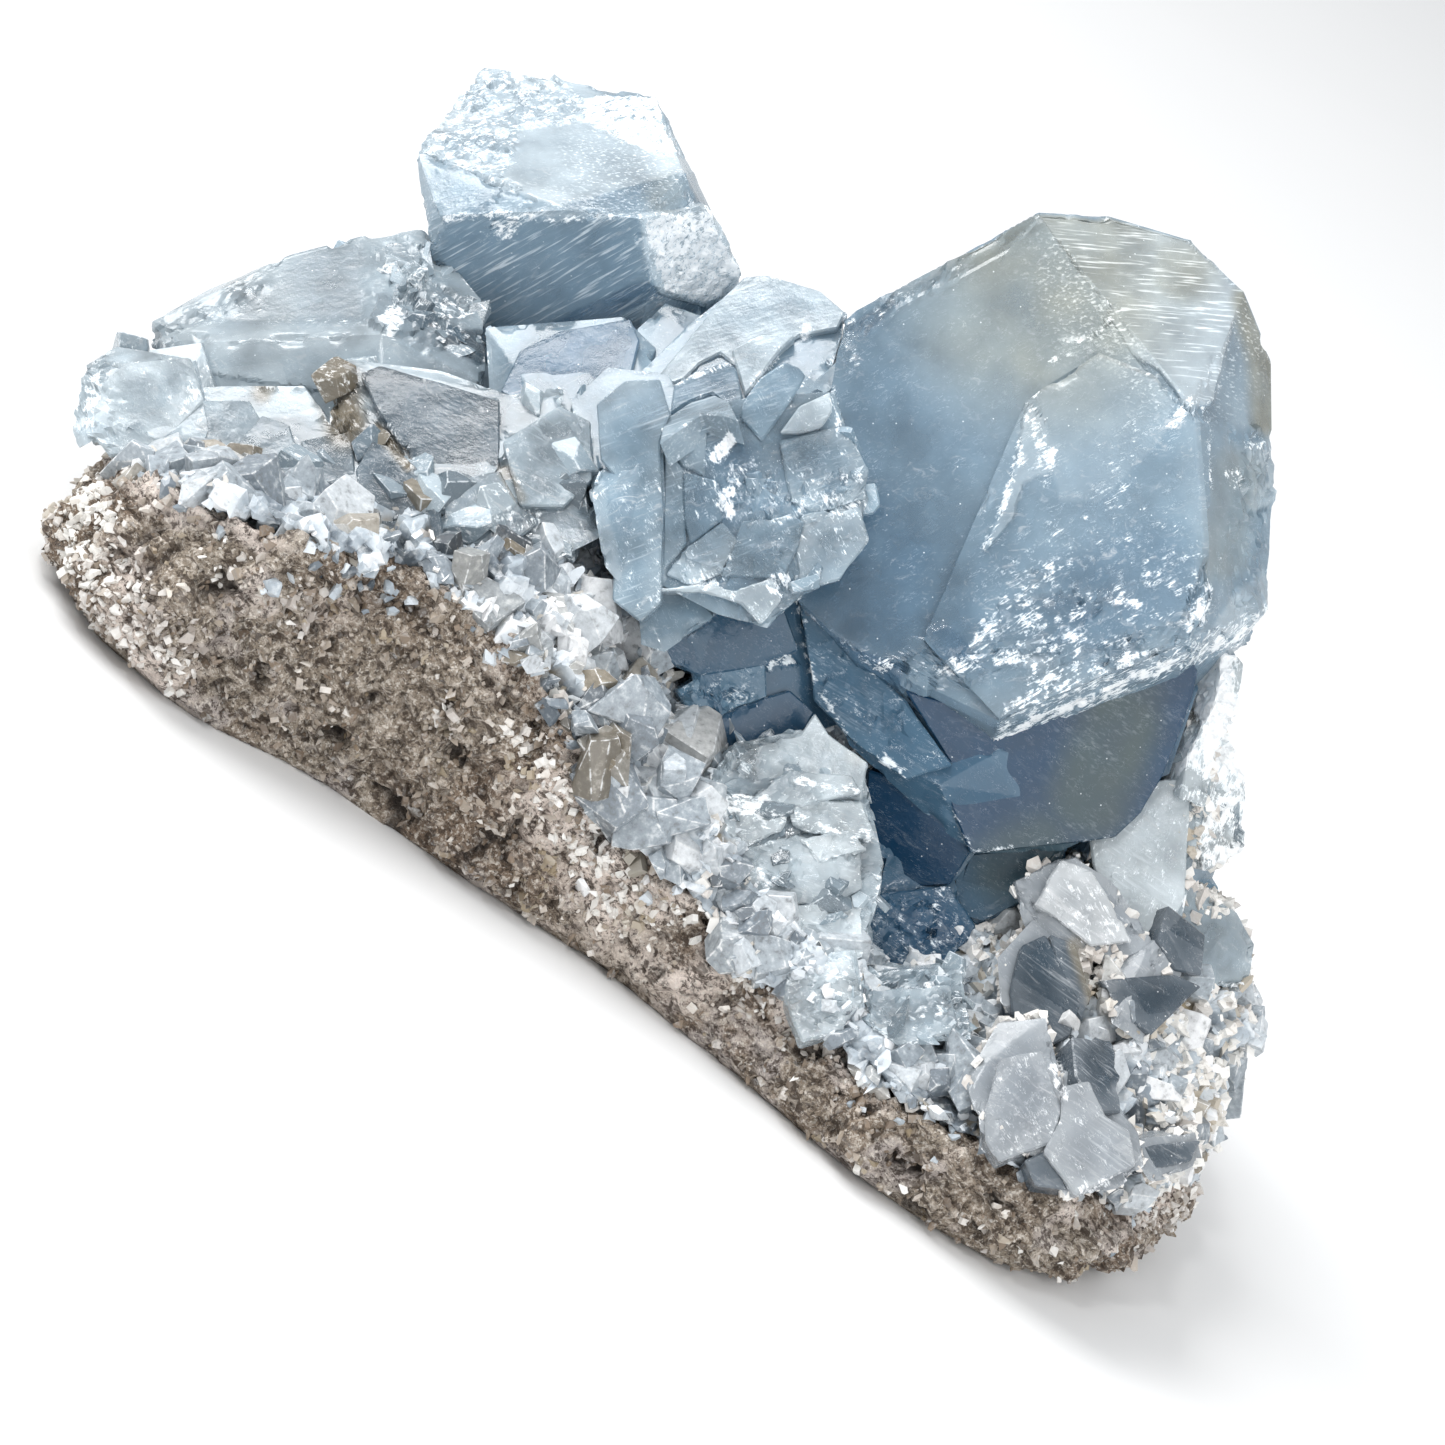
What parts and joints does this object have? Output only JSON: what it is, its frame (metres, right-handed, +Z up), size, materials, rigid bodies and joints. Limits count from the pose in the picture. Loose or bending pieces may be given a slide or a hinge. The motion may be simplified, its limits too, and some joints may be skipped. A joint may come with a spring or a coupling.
{
  "type": "celestite crystal cluster",
  "caption": "Pale blue celestite crystals growing from a druse-covered slab of grey-brown geode rock; a loose mineral specimen that rests on its flat underside.",
  "frame": {"origin": "on the surface the specimen rests on, under the middle of its bounding box", "axes": "+X along the slab from its high-left end to the end under the large crystal, +Z up from the flat underside, -Y the side with the exposed rock face"},
  "size_m": [0.1056, 0.0698, 0.0635],
  "materials": {
    "matrix": "granular grey-brown rock, matt",
    "druse": "sugary white and grey small crystals",
    "celestite": "clear pale blue crystal with frosted edges and inner veils",
    "pale_celestite": "pale, crazed, partly frosted crystal",
    "dark_celestite": "deep blue clear crystal",
    "smoky_celestite": "smoky grey and pale crystals"
  },
  "bodies": {
    "root": {"matrix": "matrix", "crystal_crust": "druse", "large_crystal": "celestite", "upper_crystal": "celestite", "left_crystal": "celestite", "centre_crystals": "celestite", "fractured_crystals": "pale_celestite", "dark_crystals": "dark_celestite", "right_crystals": "pale_celestite", "end_crystals": "pale_celestite", "rim_crystals": "smoky_celestite", "rear_crystals": "celestite"}
  },
  "joints": []
}
